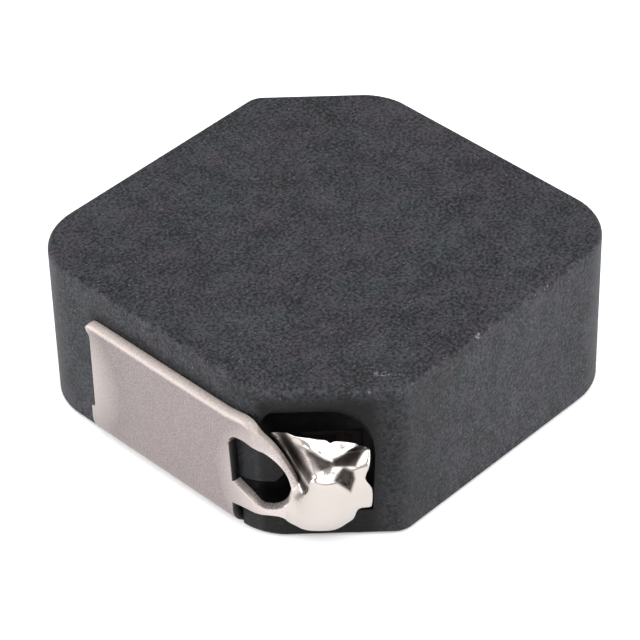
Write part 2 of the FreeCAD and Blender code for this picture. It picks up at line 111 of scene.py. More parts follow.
class CoreSettings(bpy.types.PropertyGroup):
    flange: length("Flange", 0.85, "Thickness of each flange of the drum core")
    post: length("Post", 2.3, "Radius of the drum core's post")
    chamfer: length("Chamfer", 0.08, "Chamfer on the flanges' rims")
    copper: colour("Enamelled copper", (0.42, 0.13, 0.045), "Copper under its enamel")
    burnt_and_shaded: colour("Burnt wire", (0.085, 0.058, 0.05), "The wire's ends, their enamel burnt off in the solder")
    # Partly painted shade: the ends' dark brown of bare wire is deepened for the shade in the recesses and
    # pit.
    resin: colour("Resin", (0.03, 0.026, 0.024), "Sealing resin in the gap round the drum core")
    # Painted shade: the window plugs' near-black colour stands for the shade in the windows.
    window_shade: colour("Sooty resin", (0.005, 0.004, 0.004), "Resin in the windows, darkened by the soldering")


class TerminalSettings(bpy.types.PropertyGroup):
    sheet: length("Sheet", 0.3, "Thickness of the terminal sheet")
    fold: length("Fold", 0.8, "Outside radius of the fold into the foot")
    turn: length("Turn", 0.6, "Outside radius of the turn round the core's corner")
    foot: length("Foot", 1.9, "Length of the foot from the outer face inwards")
    burr: length("Burr", 0.035, "Rounding of the sheet's edges")
    rollover: length("Rollover", 0.2, "Rounding that the shear leaves along the sheet's upper edge")
    tin: colour("Tin", (0.305, 0.264, 0.261), "Matte tin of the terminal sheet")
    # Painted highlight: the band's brighter colour stands for light on the sheet's upper edge.
    band: colour("Sheared band", (0.335, 0.287, 0.27), "Brighter tin along the sheet's upper edge")
    wetted: colour("Wetted tin", (0.5, 0.45, 0.432), "Tin that the solder has run over")
    # Painted shade: the dark colour of the sheared walls of the eye and the plate's end.
    shaded_wall: colour("Bare wall", (0.045, 0.043, 0.044), "Sheared walls that took no tin")


class SolderSettings(bpy.types.PropertyGroup):
    detail: IntProperty(name="Detail", description="Cuts of the starting cube's faces", default=55,
                        min=4, max=90)
    streak: length("Streak", 0.045, "Height of the drawn streaks on the flank")
    pit: length("Pit", 0.08, "Depth of the pit round the wire's end")
    metal: colour("Solder", (0.49, 0.447, 0.423), "Bright solder")
    # Painted dark reflection and painted shade: the colour painted on the solder's fan, band and pit.
    dark_reflection_tint: colour("Flux stain", (0.02, 0.0145, 0.0135), "Burnt flux in the solder's hollows")


class StageSettings(bpy.types.PropertyGroup):
    lens: FloatProperty(name="Lens", description="Focal length in millimetres", default=180.571)
    place: FloatVectorProperty(name="Camera place", description="Where the camera stands", size=3,
                               default=(-0.0512955, -0.0506723, 0.0636835), unit="LENGTH", precision=6)
    azimuth: angle("Azimuth", -45.191, "Turn of the camera about the upright")
    elevation: angle("Elevation", 40.429, "Height of the camera as an angle")
    roll: angle("Roll", -1.490, "Turn of the camera about its own line")
    floor: length("Floor", 900.0, "Side of the floor")
    paper: colour("Paper", (0.93, 0.93, 0.93), "Pale floor")
    sky: strength("Sky", 0.9, "Strength of the even light all round")
    key: strength("Side lights", 8.6, "Brightness of the two side lights")
    top: strength("Top light", 2.7, "Brightness of the top light")
    front: strength("Front card", 1.8, "Brightness of the white card behind the camera")


SETTINGS = {"pot": PotSettings, "core": CoreSettings, "terminal": TerminalSettings, "solder": SolderSettings,
            "stage": StageSettings}


# Handling of objects and edit mode.


def clear():
    """Leave edit mode with nothing selected."""
    if bpy.context.mode != "OBJECT":
        bpy.ops.object.mode_set(mode="OBJECT")
    bpy.ops.object.select_all(action="DESELECT")


def only(piece):
    """Select one object alone and make it active."""
    clear()
    piece.select_set(True)
    bpy.context.view_layer.objects.active = piece


def start(kind, name, **settings):
    """Add a primitive with nothing else selected and give it its name."""
    clear()
    getattr(bpy.ops.mesh, f"primitive_{kind}_add")(**settings)
    made = bpy.context.active_object
    made.name = made.data.name = name
    bpy.ops.object.transform_apply()
    return made


def edit(piece):
    """Enter edit mode with all of a piece selected."""
    only(piece)
    bpy.ops.object.mode_set(mode="EDIT")
    bpy.ops.mesh.select_all(action="SELECT")


def face_outwards():
    """Point all the normals outwards and leave edit mode."""
    bpy.ops.mesh.select_all(action="SELECT")
    bpy.ops.mesh.normals_make_consistent(inside=False)
    clear()


def pick(piece, wanted):
    """In edit mode, select just the edges that pass a test."""
    mesh = bmesh.from_edit_mesh(piece.data)
    bpy.context.tool_settings.mesh_select_mode = (False, True, False)
    mesh.select_mode = {"EDGE"}
    for items in (mesh.verts, mesh.edges, mesh.faces):
        for item in items:
            item.select = False
    for edge in mesh.edges:
        if wanted(edge):
            edge.select_set(True)
    mesh.select_flush_mode()
    bmesh.update_edit_mesh(piece.data)


def upright(x, y):
    """A test for the upright edges at a place and half a turn from it."""

    def wanted(edge):
        first, second = (vertex.co for vertex in edge.verts)
        if abs(first.x - second.x) + abs(first.y - second.y) > CLOSE:
            return False
        return any(abs(first.x - way * x) + abs(first.y - way * y) < CLOSE for way in (1, -1))

    return wanted


def level(height):
    """A test for the edges that lie at a height."""
    return lambda edge: all(abs(vertex.co.z - height) < CLOSE for vertex in edge.verts)


def modify(piece, kind, **settings):
    """Add a modifier, set it and apply it."""
    only(piece)
    made = piece.modifiers.new(kind.title(), kind)
    for name, value in settings.items():
        setattr(made, name, value)
    bpy.ops.object.modifier_apply(modifier=made.name)


def cut(piece, cutter):
    """Cut a piece with another, which is then removed."""
    modify(piece, "BOOLEAN", operation="DIFFERENCE", solver="EXACT", object=cutter)
    bpy.data.objects.remove(cutter)


def linked(name, data):
    """A new object in the scene."""
    made = bpy.data.objects.new(name, data)
    bpy.context.scene.collection.objects.link(made)
    return made


def outline(name, points, low, high):
    """A slab from a closed outline in the XY plane, drawn out from one height to another."""
    made = start("circle", name, vertices=len(points), radius=1.0, fill_type="NGON")
    for vertex, point in zip(made.data.vertices, points):
        vertex.co = (point[0], point[1], low)
    edit(made)
    bpy.ops.mesh.extrude_region_move(TRANSFORM_OT_translate={"value": (0, 0, high - low)})
    face_outwards()
    return made


def stacked(name, rings):
    """A closed skin through rings of equally many points."""
    count = len(rings[0])
    faces = [tuple(reversed(range(count))), tuple(range(count * (len(rings) - 1), count * len(rings)))]
    for step in range(len(rings) - 1):
        for index in range(count):
            first, second = step * count + index, step * count + (index + 1) % count
            faces.append((first, second, second + count, first + count))
    mesh = bpy.data.meshes.new(name)
    mesh.from_pydata([point for ring in rings for point in ring], [], faces)
    made = linked(name, mesh)
    edit(made)
    face_outwards()
    return made


def move(piece, matrix):
    piece.data.transform(matrix)
    piece.data.update()


def copied(piece, name, matrix):
    """A copy with its own mesh, turned in its mesh."""
    made = piece.copy()
    made.data = piece.data.copy()
    made.name = made.data.name = name
    bpy.context.scene.collection.objects.link(made)
    move(made, matrix)
    return made


def painted(piece, name, values):
    """Give each point of a mesh its own value, which a material reads by name."""
    piece.data.attributes.new(name, "FLOAT", "POINT").data.foreach_set("value", values)


def dress(piece, look):
    piece.data.materials.clear()
    piece.data.materials.append(look)


def settle(piece, look, slot, *nodes, sharp=35.0):
    """Smooth a finished piece, dress it and tie it to the CAD body and nodes that it stands for."""
    only(piece)
    bpy.ops.object.transform_apply()
    bpy.ops.object.shade_smooth_by_angle(angle=math.radians(sharp))
    if sharp < 90:
        modify(piece, "WEIGHTED_NORMAL", keep_sharp=True, weight=60)
    dress(piece, look)
    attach(piece, "root")
    if nodes:
        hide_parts(*nodes)


def smooth_loop(points, steps, closed=True):
    """A rounder outline through the same points."""
    line = points[-1:] + points + points[:2] if closed else points[:1] + points + points[-1:]
    line = [Vector(point) for point in line]
    made = []
    for a, b, c, d in zip(line, line[1:], line[2:], line[3:]):
        for step in range(steps):
            t = step / steps
            made.append((0.5 * (2 * b + (c - a) * t + (2 * a - 5 * b + 4 * c - d) * t * t
                                + (3 * b - a - 3 * c + d) * t ** 3)).to_tuple())
    return made if closed else made + [line[-1].to_tuple()]


def corner_frame(turn=0.0):
    """The frame of a chamfer: x along it, y up and z outwards, from the middle of its foot."""
    middle = (POT_HIGH.x - POT_LOW.x - bpy.context.scene.pot.leg) / 2
    side = math.sqrt(0.5)
    axes = Matrix(((side, 0, -side, -middle), (-side, 0, -side, -middle), (0, 1, 0, 0), (0, 0, 0, 1)))
    return Matrix.Rotation(turn, 4, "Z") @ axes


# Helpers of the materials.


def fill(tree, made, inputs):
    """Give a node's inputs their values, or link them to the sockets that feed them."""
    for name, value in inputs.items():
        if isinstance(value, bpy.types.NodeSocket):
            tree.links.new(value, made.inputs[name])
        else:
            made.inputs[name].default_value = value


def node(tree, kind, inputs=None, **settings):
    """Add a node; an input is a value or the socket that feeds it."""
    made = tree.nodes.new(f"ShaderNode{kind}")
    for name, value in settings.items():
        setattr(made, name, value)
    fill(tree, made, inputs or {})
    return made


def reckon(tree, operation, *values, clamp=False):
    """The result of a sum with one to three values or sockets."""
    return node(tree, "Math", dict(enumerate(values)), operation=operation, use_clamp=clamp).outputs[0]


def apart(tree, first, second):
    """How far one place is from another."""
    return node(tree, "VectorMath", {0: first, 1: second}, operation="DISTANCE").outputs["Value"]


def split(tree, place):
    """A place's X, Y and Z."""
    return node(tree, "SeparateXYZ", {"Vector": place}).outputs


def on_point(tree, name):
    """The value that the mesh's points were given under a name."""
    return node(tree, "Attribute", attribute_name=name).outputs["Fac"]


def faded(tree, value, start, end, low=0.0, high=1.0, way="LINEAR"):
    """From low to high as a value goes from start to end."""
    inputs = {"Value": value, "From Min": start, "From Max": end, "To Min": low, "To Max": high}
    return node(tree, "MapRange", inputs, interpolation_type=way).outputs["Result"]


def clouds(tree, place, scale, detail=2.0, roughness=0.5):
    inputs = {"Vector": place, "Scale": scale, "Detail": detail, "Roughness": roughness}
    return node(tree, "TexNoise", inputs).outputs["Fac"]


def blended(tree, amount, first, second):
    """A value between two."""
    return node(tree, "Mix", {"Factor": amount, "A": first, "B": second}).outputs[0]


def mixed(tree, amount, first, second, most=1.0):
    """A colour between two, each a socket or three parts. The node's colours are its inputs 6 and 7."""
    if most < 1:
        amount = reckon(tree, "MULTIPLY", amount, most)
    colours = [tint if isinstance(tint, bpy.types.NodeSocket) else (*tint, 1.0) for tint in (first, second)]
    return node(tree, "Mix", {0: amount, 6: colours[0], 7: colours[1]}, data_type="RGBA").outputs[2]


def shaded(tint, amount):
    """A colour made darker or lighter."""
    return tuple(min(1.0, amount * part) for part in tint)


def coat(tree, shader, height, distance, inputs):
    """Give the shader its inputs, and bumps from a height."""
    bumps = node(tree, "Bump", {"Height": height, "Distance": distance}).outputs["Normal"]
    fill(tree, shader, {**inputs, "Normal": bumps})


def material(name):
    """A new material with its Principled shader and the piece's own coordinates."""
    made = bpy.data.materials.new(name)
    made.use_nodes = True
    tree = made.node_tree
    return made, tree, tree.nodes["Principled BSDF"], node(tree, "TexCoord").outputs["Object"]


def group(name, values, results):
    """A node group that is given a place and values, what it is given and the node that takes its results."""
    tree = bpy.data.node_groups.new(name, "ShaderNodeTree")
    tree.interface.new_socket(name="Vector", in_out="INPUT", socket_type="NodeSocketVector")
    for label, value in values.items():
        made = tree.interface.new_socket(name=label, in_out="INPUT", socket_type="NodeSocketFloat")
        made.default_value = value
    for label in results:
        tree.interface.new_socket(name=label, in_out="OUTPUT", socket_type="NodeSocketFloat")
    return tree, tree.nodes.new("NodeGroupInput").outputs, tree.nodes.new("NodeGroupOutput")


def placed(tree, made, **inputs):
    """A node group placed in a material with its own values."""
    return node(tree, "Group", inputs, node_tree=made).outputs


# Effects that more than one material uses.


def grain_group():
    """Fine sintered or plated grain: an even tone, pale specks and a height."""
    if "Grain" in bpy.data.node_groups:
        return bpy.data.node_groups["Grain"]
    tree, given, results = group("Grain", {"Size": 0.1 * MM, "Specks": 0.1, "Wide": 0.45},
                                 ["Tone", "Speck", "Height"])
    scale = reckon(tree, "DIVIDE", 1.0, given["Size"])
    fine = clouds(tree, given["Vector"], scale, detail=3.0, roughness=0.6)
    wide = clouds(tree, given["Vector"], reckon(tree, "MULTIPLY", scale, 0.12), detail=4.0, roughness=0.55)
    swing = reckon(tree, "SUBTRACT", wide, 0.5)
    both = reckon(tree, "MULTIPLY_ADD", swing, given["Wide"], fine)
    cells = node(tree, "TexVoronoi", {"Vector": given["Vector"], "Scale": scale}, feature="F1").outputs
    drawn = node(tree, "SeparateColor", {"Color": cells["Color"]}).outputs["Red"]
    speck = reckon(tree, "MULTIPLY", faded(tree, cells["Distance"], 0.34, 0.12),
                   reckon(tree, "LESS_THAN", drawn, given["Specks"]))
    fill(tree, results, {"Tone": faded(tree, both, 0.385, 0.615), "Speck": speck, "Height": fine})
    return tree


def wear_group():
    """Where an edge is rubbed: 1 on the edge, fading to 0 a little way in."""
    if "Wear" in bpy.data.node_groups:
        return bpy.data.node_groups["Wear"]
    tree, given, results = group("Wear", {"Width": 0.1 * MM}, ["Mask"])
    rounded = node(tree, "Bevel", {"Radius": given["Width"]}, samples=6).outputs["Normal"]
    flat = node(tree, "NewGeometry").outputs["Normal"]
    same = node(tree, "VectorMath", {0: rounded, 1: flat}, operation="DOT_PRODUCT").outputs["Value"]
    broken = faded(tree, clouds(tree, given["Vector"], 2400.0, detail=3.0), 0.35, 0.62)
    fill(tree, results, {"Mask": reckon(tree, "MULTIPLY", faded(tree, same, 0.995, 0.86), broken)})
    return tree


# Finishes.

# The ferrite's light grain leans to green in some patches and to red in others.
GREEN_LEAN = (0.94, 1.04, 1.03)
RED_LEAN = (1.06, 0.97, 1.03)
# Painted shade: the near-black painted in and over the recesses.
PAINTED_SHADE = (0.0035, 0.003, 0.003)
# Chips along the top edge: where they are in millimetres, and their radii.
CHIPS = [((2.56, -6.24, 5.48), 0.09), ((2.72, -6.22, 5.5), 0.05), ((-0.32, -6.24, 5.48), 0.09),
         ((-3.46, -5.26, 5.53), 0.09), ((-3.28, -5.44, 5.53), 0.11), ((-4.05, -5.6, 5.42), 0.06)]
# The solder has run over the lug round this place, on either chamfer.
JOINT = (4.9 * MM, 4.9 * MM, 2.2 * MM)


def ferrite_look(name, dark, light, wear, chips=()):
    """Sintered ferrite: charcoal grain with mottled patches, pale specks and rubbed edges."""
    made, tree, shader, place = material(name)
    grain = placed(tree, grain_group(), Vector=place, Size=0.095 * MM, Specks=0.1, Wide=0.33)
    patches = clouds(tree, place, scale=420.0, detail=6.0, roughness=0.68)
    drawn = node(tree, "Mapping", {"Vector": place, "Scale": (1.0, 1.0, 0.04)}).outputs["Vector"]
    streaks = clouds(tree, drawn, scale=3400.0)
    spread = faded(tree, blended(tree, 0.3, patches, streaks), 0.36, 0.66)
    tone = blended(tree, 0.22, grain["Tone"], spread)
    hue = faded(tree, clouds(tree, place, scale=650.0), 0.4, 0.6)
    green, red = (tuple(part * share for part, share in zip(light, lean)) for lean in (GREEN_LEAN, RED_LEAN))
    base = mixed(tree, tone, dark, mixed(tree, hue, green, red))
    specked = mixed(tree, grain["Speck"], base, shaded(light, 2.4), most=0.75)
    rubbed = placed(tree, wear_group(), Vector=place, Width=wear)["Mask"]
    worn = mixed(tree, rubbed, specked, shaded(light, 1.6), most=0.45)
    # Noise makes each chip's outline ragged.
    if chips:
        ragged = node(tree, "TexNoise", {"Vector": place, "Scale": 9000.0, "Detail": 1.0}).outputs["Color"]
    for spot, radius in chips:
        near = node(tree, "VectorMath", {0: ragged, 1: (2.2 * radius * MM,) * 3, 2: place},
                    operation="MULTIPLY_ADD").outputs["Vector"]
        far = apart(tree, near, tuple((part + 1.1 * radius) * MM for part in spot))
        chip = faded(tree, far, 1.1 * radius * MM, 0.4 * radius * MM)
        worn = mixed(tree, chip, worn, shaded(light, 4.5))
    # Painted shade: near-black in and over the recesses, a little darker beside them, and a painted contact
    # shadow along the terminals.
    recess, beside = painted_shade_masks(tree, place)
    shaded_near = mixed(tree, beside, worn, shaded(dark, 0.5), most=0.33)
    coat(tree, shader, grain["Height"], 0.02 * MM,
         {"Base Color": mixed(tree, recess, shaded_near, PAINTED_SHADE, most=0.97), "Specular IOR Level": 0.14,
          "Roughness": faded(tree, grain["Tone"], 0.0, 1.0, 0.5, 0.68)})
    return made


def painted_shade_masks(tree, place):
    """Painted shade on the ferrite: near-black in and over the recesses, faint beside them, and a painted
    contact shadow over the terminals.
    """

    def band(value, start, end):
        return faded(tree, value, start * MM, end * MM, way="SMOOTHSTEP")

    def joined(*values, operation="MULTIPLY"):
        total = values[0]
        for value in values[1:]:
            total = reckon(tree, operation, total, value)
        return total

    x, y, z = split(tree, place)
    diagonal = joined(x, y, operation="ADD")
    outwards = reckon(tree, "ABSOLUTE", diagonal)
    along = joined(joined(y, x, operation="SUBTRACT"), reckon(tree, "SIGN", diagonal))
    recess = joined(band(outwards, 9.75, 9.7), band(outwards, 7.7, 7.9), band(z, 5.38, 4.85),
                    band(along, 2.35, 1.35), band(along, -3.1, -2.6))
    # Painted contact shadow along the terminals' upper edges, nearly twice as strong as the painted shade
    # beside the recesses.
    across, sideways = (reckon(tree, "ABSOLUTE", value) for value in (x, y))
    contact = joined(band(across, 6.1, 6.2), band(sideways, 3.5, 3.2), band(z, 5.0, 4.45), 1.9)
    beside = joined(band(outwards, 7.2, 9.4), band(z, 5.45, 5.1))
    return recess, joined(contact, beside, operation="MAXIMUM")


def tin_look(settings):
    """Matte tin plate: warm grey with fine crystalline grain and rubbed bright edges."""
    made, tree, shader, place = material("matte_tin")
    grain = placed(tree, grain_group(), Vector=place, Size=0.06 * MM, Specks=0.2, Wide=0.1)
    tone = blended(tree, 0.15, grain["Tone"], clouds(tree, place, scale=700.0, detail=4.0, roughness=0.6))
    bright = shaded(settings.tin, 1.35)
    base = mixed(tree, tone, shaded(settings.tin, 0.6), settings.tin)
    specked = mixed(tree, grain["Speck"], base, bright, most=0.4)
    rubbed = placed(tree, wear_group(), Vector=place, Width=0.07 * MM)["Mask"]
    worn = mixed(tree, rubbed, specked, bright, most=0.7)

    # Painted shade: the plate gets a little darker towards its free end, where x times y is lowest.
    x, y, _ = split(tree, place)
    towards = faded(tree, reckon(tree, "MULTIPLY", x, y), -8.0 * MM * MM, -20.5 * MM * MM, high=0.13)
    end_shade = mixed(tree, towards, worn, (0.0, 0.0, 0.0))
    either = node(tree, "VectorMath", {0: place}, operation="ABSOLUTE").outputs[0]
    wet = faded(tree, apart(tree, either, JOINT), 3.4 * MM, 2.0 * MM)
    wetted = mixed(tree, wet, end_shade, settings.wetted)

    # Painted light and shade from the mesh: a painted highlight on the upper edge's band and, fainter, on the
    # eye's lower wall; painted shade on the other sheared walls.
    edge_light_and_shade = on_point(tree, "edge_light_and_shade")
    lit = reckon(tree, "MAXIMUM", edge_light_and_shade, 0.0)
    shaded_wall = reckon(tree, "MULTIPLY", edge_light_and_shade, -1.0, clamp=True)
    band_highlight = mixed(tree, grain["Tone"], shaded(settings.band, 0.8), settings.band)
    rough = faded(tree, grain["Tone"], 0.0, 1.0, 0.42, 0.55)
    coat(tree, shader, grain["Height"], 0.006 * MM,
         {"Base Color": mixed(tree, shaded_wall, mixed(tree, lit, wetted, band_highlight), settings.shaded_wall),
          "Metallic": reckon(tree, "MULTIPLY_ADD", lit, -0.9, 1.0),
          "Roughness": reckon(tree, "MULTIPLY_ADD", wet, -0.2, rough)})
    return made


def solder_look(settings):
    """Bright solder with a faint warm film, slightly duller where it froze last."""
    made, tree, shader, place = material("bright_solder")
    cloud = clouds(tree, place, scale=1400.0, detail=4.0, roughness=0.6)
    tone = mixed(tree, cloud, shaded(settings.metal, 0.93), settings.metal)
    smooth = faded(tree, cloud, 0.3, 0.75, 0.08, 0.2)
    # The base colour takes the painted dark reflections and painted shade that the mesh's points carry.
    coat(tree, shader, clouds(tree, place, scale=9000.0), 0.003 * MM,
         {"Base Color": mixed(tree, on_point(tree, "reflection_and_shade"), tone, settings.dark_reflection_tint), "Metallic": 1.0,
          "Roughness": reckon(tree, "MULTIPLY_ADD", on_point(tree, "dull"), 0.35, smooth)})
    return made


def copper_look(settings):
    """Enamelled copper wire with faint drawing marks, its ends dark brown where the solder took the enamel
    off, deepened as painted shade.
    """
    made, tree, shader, place = material("enamelled_copper")
    cloud = clouds(tree, place, scale=900.0, detail=4.0)
    tone = mixed(tree, cloud, shaded(settings.copper, 0.6), settings.copper)
    x, y, _ = split(tree, place)
    # The wire's ends: dark brown of bare wire, deepened as painted shade where they lie in the recesses and
    # pit.
    burnt_and_shaded = faded(tree, reckon(tree, "ABSOLUTE", reckon(tree, "ADD", x, y)), 7.2 * MM, 7.8 * MM)
    coat(tree, shader, cloud, 0.004 * MM,
         {"Base Color": mixed(tree, burnt_and_shaded, tone, settings.burnt_and_shaded), "Metallic": 0.85, "Coat Weight": 0.6,
          "Roughness": faded(tree, cloud, 0.0, 1.0, 0.25, 0.42)})
    return made


def resin_look(name, tint, dull=0.0):
    """Dark sealing resin, glossy in places."""
    made, tree, shader, place = material(name)
    cloud = clouds(tree, place, scale=800.0, detail=5.0)
    coat(tree, shader, cloud, 0.02 * MM,
         {"Base Color": mixed(tree, cloud, shaded(tint, 0.6), shaded(tint, 1.5)),
          "Specular IOR Level": 0.5 - 0.4 * dull,
          "Roughness": faded(tree, cloud, 0.0, 1.0, 0.25 + 0.3 * dull, 0.6 + 0.3 * dull)})
    return made


def paper_look(settings):
    """Pale floor with faint fibres."""
    made, tree, shader, place = material("pale_paper")
    fibres = clouds(tree, place, scale=40.0, detail=3.0)
    tone = mixed(tree, fibres, shaded(settings.paper, 0.99), settings.paper)
    fill(tree, shader, {"Base Color": tone, "Roughness": 0.9, "Specular IOR Level": 0.1})
    return made


# Ferrite pot.

# The shoulder in each recess: shares of its width and of the recess's height.
SHOULDER = [(0.55, 0.345), (1.0, 0.465), (0.9, 0.6), (0.0, 0.89)]
NOTCH_TALL = 0.28
# Steps of the recess's rounded corners and of its flared lip.
ROUND_STEPS = 6
LIP_STEPS = 8
# The window's cutter starts this far behind the chamfer, and runs this many recesses deep.
WINDOW_START = 0.2 * MM
WINDOW_RUN = 3


def rounded_block(settings):
    """The pot's outside: two corners chamfered, two rounded, and every edge softened."""
    side, low, high = POT_HIGH.x, POT_LOW.z, POT_HIGH.z
    pot = start("cube", "ferrite_pot", size=1.0, location=(0, 0, (low + high) / 2),
                scale=(2 * side, 2 * side, high - low))
    edit(pot)
    turn, obtuse = side - settings.leg, math.tan(math.pi / 8)
    for wanted, offset, segments in (
            (upright(side, side), settings.leg, 1), (upright(side, -side), settings.corner, 14),
            (upright(side, turn), settings.lug_corner * obtuse, 8),
            (upright(turn, side), settings.soften * obtuse, 8),
            (level(high), settings.rim, 4), (level(low), settings.sole, 2)):
        pick(pot, wanted)
        bpy.ops.mesh.bevel(offset=offset, segments=segments)
    clear()
    return pot


def recess_cutter(settings):
    """What one recess takes away: rounded upper corners, and a mouth that flares upwards and to the right."""
    left, right, foot, head = (settings.recess_left, settings.recess_right, settings.recess_low,
                               settings.recess_high)
    tall, lip = head - foot, settings.lip
    # Each point of the ring is its place along and up the chamfer, and its flare both ways.
    ring = [(left - settings.notch, foot, 0, 0), (right, foot, 0, 0)]
    quarter = [math.pi / 2 * step / ROUND_STEPS for step in range(ROUND_STEPS + 1)]
    for corner, way, radius, flank in ((right, 1, settings.round, settings.flank),
                                       (left, -1, settings.round_left, 0.0)):
        ring += [(corner - way * radius * (1 - math.cos(turn)), head - radius * (1 - math.sin(turn)),
                  flank * math.cos(turn), lip * math.sin(turn)) for turn in quarter[::way]]
    ring += [(left + share * settings.shoulder, foot + rise * tall, 0, 0) for share, rise in SHOULDER[::-1]]
    ring.append((left - settings.notch, foot + NOTCH_TALL * tall, 0, 0))
    levels = [(0.0, -settings.recess_deep), (0.0, -lip)]
    for step in range(1, LIP_STEPS + 1):
        turn = math.pi / 2 * step / LIP_STEPS
        levels.append((1 - math.cos(turn), -lip * (1 - math.sin(turn))))
    levels.append((1.0, lip))
    return stacked("recess", [[(x + flare * wider, y + flare * higher, out) for x, y, wider, higher in ring]
                              for flare, out in levels])


def window_cutter(settings):
    """What the window for the wire takes away, from the recess into the cavity."""
    low, high, depth = settings.recess_low, settings.window_high, WINDOW_RUN * settings.recess_deep
    return start("cube", "window", size=1.0, location=(0, (low + high) / 2, -depth / 2 - WINDOW_START),
                 scale=(2 * settings.window, high - low, depth))


def groove_cutter(settings, terminal):
    """What the groove for a terminal's foot takes away, drawn in profile and stood on its side."""
    gap, inner = settings.groove_gap, terminal.fold - terminal.sheet
    reach = SHEET_LOW.x + terminal.foot + gap
    outer = SHEET_LOW.x - MM
    profile = [(outer, -MM), (reach, -MM), (reach, terminal.sheet), (POT_LOW.x + inner, terminal.sheet),
               (POT_LOW.x, terminal.fold), (outer, terminal.fold)]
    groove = outline("groove", profile, -SHEET_HIGH.y - gap, PLATE_RIGHT * MM + gap)
    move(groove, Matrix.Rotation(math.pi / 2, 4, "X"))
    return groove


class FerritePot(bpy.types.Operator):
    """Block with chamfered and rounded corners, its cavity, recesses, wire windows and foot grooves"""
    bl_idname = "inductor.ferrite_pot"
    bl_label = "Ferrite pot"

    def execute(self, context):
        settings = context.scene.pot
        pot = rounded_block(settings)
        roof = POT_HIGH.z - settings.cap
        cut(pot, start("cylinder", "bore", vertices=128, radius=settings.bore, depth=roof + MM,
                       location=(0, 0, (roof - MM) / 2)))
        for turn in (0.0, math.pi):
            for cutter in (recess_cutter, window_cutter):
                made = cutter(settings)
                move(made, corner_frame(turn))
                cut(pot, made)
            groove = groove_cutter(settings, context.scene.terminal)
            move(groove, Matrix.Rotation(turn, 4, "Z"))
            cut(pot, groove)
        for spot, radius in CHIPS:
            cut(pot, start("ico_sphere", "chip", subdivisions=1, radius=radius * MM,
                           location=Vector(spot) * MM, rotation=(radius * 40, radius * 90, 0.3)))
        modify(pot, "BEVEL", width=settings.wear, segments=2, limit_method="ANGLE",
               angle_limit=math.radians(50), miter_outer="MITER_ARC", use_clamp_overlap=True)
        look = ferrite_look("sintered_ferrite", settings.dark, settings.light, 0.12 * MM, CHIPS)
        settle(pot, look, "ferrite", "shield_core")
        return {"FINISHED"}


# The wound core.

# The window plugs: their thickness, how far behind the recess their middle lies, and how uneven they are.
PLUG_THICK = 0.5 * MM
PLUG_BACK = 0.2 * MM
PLUG_ROUGH = 0.07 * MM
PLUG_GRAIN = 2200.0


class DrumCore(bpy.types.Operator):
    """Two round flanges on a post, spun from one profile"""
    bl_idname = "inductor.drum_core"
    bl_label = "Drum core"

    def execute(self, context):
        settings, pot = context.scene.core, context.scene.pot
        rim, low, high, post, edge = DRUM_HIGH.x, DRUM_LOW.z, DRUM_HIGH.z, settings.post, settings.chamfer
        profile = []
        for foot, way in ((low, 1), (high, -1)):
            inner = foot + way * settings.flange
            flange = [(0, foot), (rim - edge, foot), (rim, foot + way * edge), (rim, inner - way * edge),
                      (rim - edge, inner), (post + edge, inner), (post, inner + way * edge)]
            profile += flange[::way]
        drum = start("circle", "drum", vertices=len(profile), radius=1.0)
        for vertex, (out, up) in zip(drum.data.vertices, profile):
            vertex.co = (out, 0, up)
        edit(drum)
        pick(drum, lambda line: all(abs(vertex.co.x) < CLOSE for vertex in line.verts))
        bpy.ops.mesh.delete(type="EDGE")
        bpy.ops.mesh.select_all(action="SELECT")
        bpy.ops.mesh.spin(steps=96, angle=2 * math.pi, center=(0, 0, 0), axis=(0, 0, 1))
        bpy.ops.mesh.select_all(action="SELECT")
        bpy.ops.mesh.remove_doubles(threshold=CLOSE)
        face_outwards()
        look = ferrite_look("drum_ferrite", shaded(pot.dark, 0.9), shaded(pot.light, 0.9), 0.05 * MM)
        settle(drum, look, "ferrite", "drum_core")
        return {"FINISHED"}


class Winding(bpy.types.Operator):
    """Enamelled wire round the post and its two ends out to the recesses"""
    bl_idname = "inductor.winding"
    bl_label = "Winding"

    def execute(self, context):
        dress(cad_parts["winding"], copper_look(context.scene.core))
        return {"FINISHED"}


class GapResin(bpy.types.Operator):
    """Resin in the gap between the drum core and the pot"""
    bl_idname = "inductor.gap_resin"
    bl_label = "Gap resin"

    def execute(self, context):
        dress(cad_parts["gap_resin"], resin_look("sealing_resin", context.scene.core.resin))
        return {"FINISHED"}


class WindowPlugs(bpy.types.Operator):
    """Lumps of sealing resin that close the wire windows, near-black as painted shade"""
    bl_idname = "inductor.window_plugs"
    bl_label = "Window plugs"

    def execute(self, context):
        settings = context.scene.pot
        low, high = settings.recess_low, settings.window_high
        plug = start("cube", "window_plug_front", size=1.0,
                     location=(0, (low + high) / 2, -settings.recess_deep - PLUG_BACK),
                     scale=(2 * settings.window, high - low, PLUG_THICK))
        edit(plug)
        bpy.ops.mesh.subdivide(number_cuts=11)
        clear()
        for vertex in plug.data.vertices:
            if vertex.co.z > -settings.recess_deep:
                vertex.co.z += PLUG_ROUGH * noise.noise(vertex.co * PLUG_GRAIN)
        move(plug, corner_frame())
        # Painted shade: the plugs are near-black where the windows lie in shade.
        look = resin_look("resin_painted_shade", context.scene.core.window_shade, dull=1.0)
        settle(plug, look, "resin", sharp=180.0)
        settle(copied(plug, "window_plug_rear", HALF_TURN), look, "resin", sharp=180.0)
        return {"FINISHED"}


# Terminals. The blank before it is folded: millimetres along the sheet and up from the seating plane.

